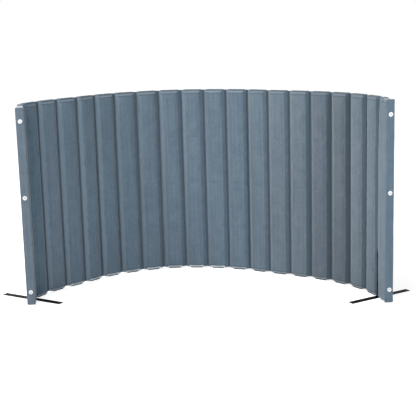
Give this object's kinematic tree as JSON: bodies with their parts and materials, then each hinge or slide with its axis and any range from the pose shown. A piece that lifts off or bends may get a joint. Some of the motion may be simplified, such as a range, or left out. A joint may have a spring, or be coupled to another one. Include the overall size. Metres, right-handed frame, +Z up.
{
  "type": "acoustic room divider",
  "caption": "Free-standing folding acoustic screen: padded bevelled panels joined by fabric webs, end snaps to join another screen, and slip-on flat steel feet.",
  "frame": {"origin": "middle of the bottom lip of the root panel, on the floor", "axes": "+Z up, +X along the root panel and the wall's length, -Y to the hollow side of the curve"},
  "size_m": [2.5471, 0.9748, 1.219],
  "materials": {
    "cover_fabric": "matte",
    "core_foam": "matte",
    "snap_plastic": "gloss",
    "foot_steel": "satin"
  },
  "bodies": {
    "panel_01": {"panel_01_cover": "cover_fabric", "panel_01_core": "core_foam", "left_studs": "snap_plastic", "left_sockets": "snap_plastic", "left_snap_washers": "snap_plastic"},
    "panel_02": {"panel_02_cover": "cover_fabric", "panel_02_core": "core_foam"},
    "panel_03": {"panel_03_cover": "cover_fabric", "panel_03_core": "core_foam"},
    "panel_04": {"panel_04_cover": "cover_fabric", "panel_04_core": "core_foam"},
    "panel_05": {"panel_05_cover": "cover_fabric", "panel_05_core": "core_foam"},
    "panel_06": {"panel_06_cover": "cover_fabric", "panel_06_core": "core_foam"},
    "panel_07": {"panel_07_cover": "cover_fabric", "panel_07_core": "core_foam"},
    "panel_08": {"panel_08_cover": "cover_fabric", "panel_08_core": "core_foam"},
    "panel_09": {"panel_09_cover": "cover_fabric", "panel_09_core": "core_foam"},
    "panel_10": {"panel_10_cover": "cover_fabric", "panel_10_core": "core_foam"},
    "panel_11": {"panel_11_cover": "cover_fabric", "panel_11_core": "core_foam"},
    "panel_12": {"panel_12_cover": "cover_fabric", "panel_12_core": "core_foam"},
    "panel_13": {"panel_13_cover": "cover_fabric", "panel_13_core": "core_foam"},
    "panel_14": {"panel_14_cover": "cover_fabric", "panel_14_core": "core_foam"},
    "panel_15": {"panel_15_cover": "cover_fabric", "panel_15_core": "core_foam"},
    "panel_16": {"panel_16_cover": "cover_fabric", "panel_16_core": "core_foam"},
    "panel_17": {"panel_17_cover": "cover_fabric", "panel_17_core": "core_foam"},
    "panel_18": {"panel_18_cover": "cover_fabric", "panel_18_core": "core_foam"},
    "panel_19": {"panel_19_cover": "cover_fabric", "panel_19_core": "core_foam"},
    "panel_20": {"panel_20_cover": "cover_fabric", "panel_20_core": "core_foam", "right_studs": "snap_plastic", "right_sockets": "snap_plastic", "right_snap_washers": "snap_plastic"},
    "left_foot": {"left_foot_floor_bar": "foot_steel", "left_foot_front_prong": "foot_steel", "left_foot_back_prong": "foot_steel"},
    "right_foot": {"right_foot_floor_bar": "foot_steel", "right_foot_front_prong": "foot_steel", "right_foot_back_prong": "foot_steel"}
  },
  "joints": [
    {"name": "web_01_fold", "type": "hinge", "parent": "panel_02", "child": "panel_01", "pos_m": [-0.92549, -0.79496, 0], "axis": [0, 0, 1], "range_deg": [-69, 1]},
    {"name": "web_02_fold", "type": "hinge", "parent": "panel_03", "child": "panel_02", "pos_m": [-0.86964, -0.65316, 0], "axis": [0, 0, -1], "range_deg": [-77.5, 102.5]},
    {"name": "web_03_fold", "type": "hinge", "parent": "panel_04", "child": "panel_03", "pos_m": [-0.78442, -0.52681, 0], "axis": [0, 0, 1], "range_deg": [-96.5, 83.5]},
    {"name": "web_04_fold", "type": "hinge", "parent": "panel_05", "child": "panel_04", "pos_m": [-0.68544, -0.41093, 0], "axis": [0, 0, -1], "range_deg": [-96.5, 83.5]},
    {"name": "web_05_fold", "type": "hinge", "parent": "panel_06", "child": "panel_05", "pos_m": [-0.60022, -0.28458, 0], "axis": [0, 0, 1], "range_deg": [-101, 79]},
    {"name": "web_06_fold", "type": "hinge", "parent": "panel_07", "child": "panel_06", "pos_m": [-0.49246, -0.17682, 0], "axis": [0, 0, -1], "range_deg": [-76.5, 103.5]},
    {"name": "web_07_fold", "type": "hinge", "parent": "panel_08", "child": "panel_07", "pos_m": [-0.36252, -0.09719, 0], "axis": [0, 0, 1], "range_deg": [-95.5, 84.5]},
    {"name": "web_08_fold", "type": "hinge", "parent": "panel_09", "child": "panel_08", "pos_m": [-0.22554, -0.03038, 0], "axis": [0, 0, -1], "range_deg": [-75.5, 104.5]},
    {"name": "web_09_fold", "type": "hinge", "parent": "panel_10", "child": "panel_09", "pos_m": [-0.0762, 0, 0], "axis": [0, 0, 1], "range_deg": [-101.5, 78.5]},
    {"name": "web_10_fold", "type": "hinge", "parent": "panel_10", "child": "panel_11", "pos_m": [0.0762, 0, 0], "axis": [0, 0, 1], "range_deg": [-82.5, 97.5]},
    {"name": "web_11_fold", "type": "hinge", "parent": "panel_11", "child": "panel_12", "pos_m": [0.2273, -0.01989, 0], "axis": [0, 0, -1], "range_deg": [-97, 83]},
    {"name": "web_12_fold", "type": "hinge", "parent": "panel_12", "child": "panel_13", "pos_m": [0.37484, -0.05805, 0], "axis": [0, 0, 1], "range_deg": [-79.5, 100.5]},
    {"name": "web_13_fold", "type": "hinge", "parent": "panel_13", "child": "panel_14", "pos_m": [0.51296, -0.12246, 0], "axis": [0, 0, -1], "range_deg": [-87.5, 92.5]},
    {"name": "web_14_fold", "type": "hinge", "parent": "panel_14", "child": "panel_15", "pos_m": [0.65376, -0.18078, 0], "axis": [0, 0, 1], "range_deg": [-88, 92]},
    {"name": "web_15_fold", "type": "hinge", "parent": "panel_15", "child": "panel_16", "pos_m": [0.79244, -0.24398, 0], "axis": [0, 0, -1], "range_deg": [-95, 85]},
    {"name": "web_16_fold", "type": "hinge", "parent": "panel_16", "child": "panel_17", "pos_m": [0.92508, -0.31902, 0], "axis": [0, 0, 1], "range_deg": [-80.5, 99.5]},
    {"name": "web_17_fold", "type": "hinge", "parent": "panel_17", "child": "panel_18", "pos_m": [1.04352, -0.41493, 0], "axis": [0, 0, -1], "range_deg": [-100.5, 79.5]},
    {"name": "web_18_fold", "type": "hinge", "parent": "panel_18", "child": "panel_19", "pos_m": [1.1425, -0.53082, 0], "axis": [0, 0, 1], "range_deg": [-79, 101]},
    {"name": "web_19_fold", "type": "hinge", "parent": "panel_19", "child": "panel_20", "pos_m": [1.21754, -0.66346, 0], "axis": [0, 0, -1], "range_deg": [-50, 8]},
    {"name": "left_foot_pull_off", "type": "slide", "parent": "panel_02", "child": "left_foot", "axis": [0, 0, -1], "range_m": [0, 0.3]},
    {"name": "right_foot_pull_off", "type": "slide", "parent": "panel_19", "child": "right_foot", "axis": [0, 0, -1], "range_m": [0, 0.3]}
  ]
}
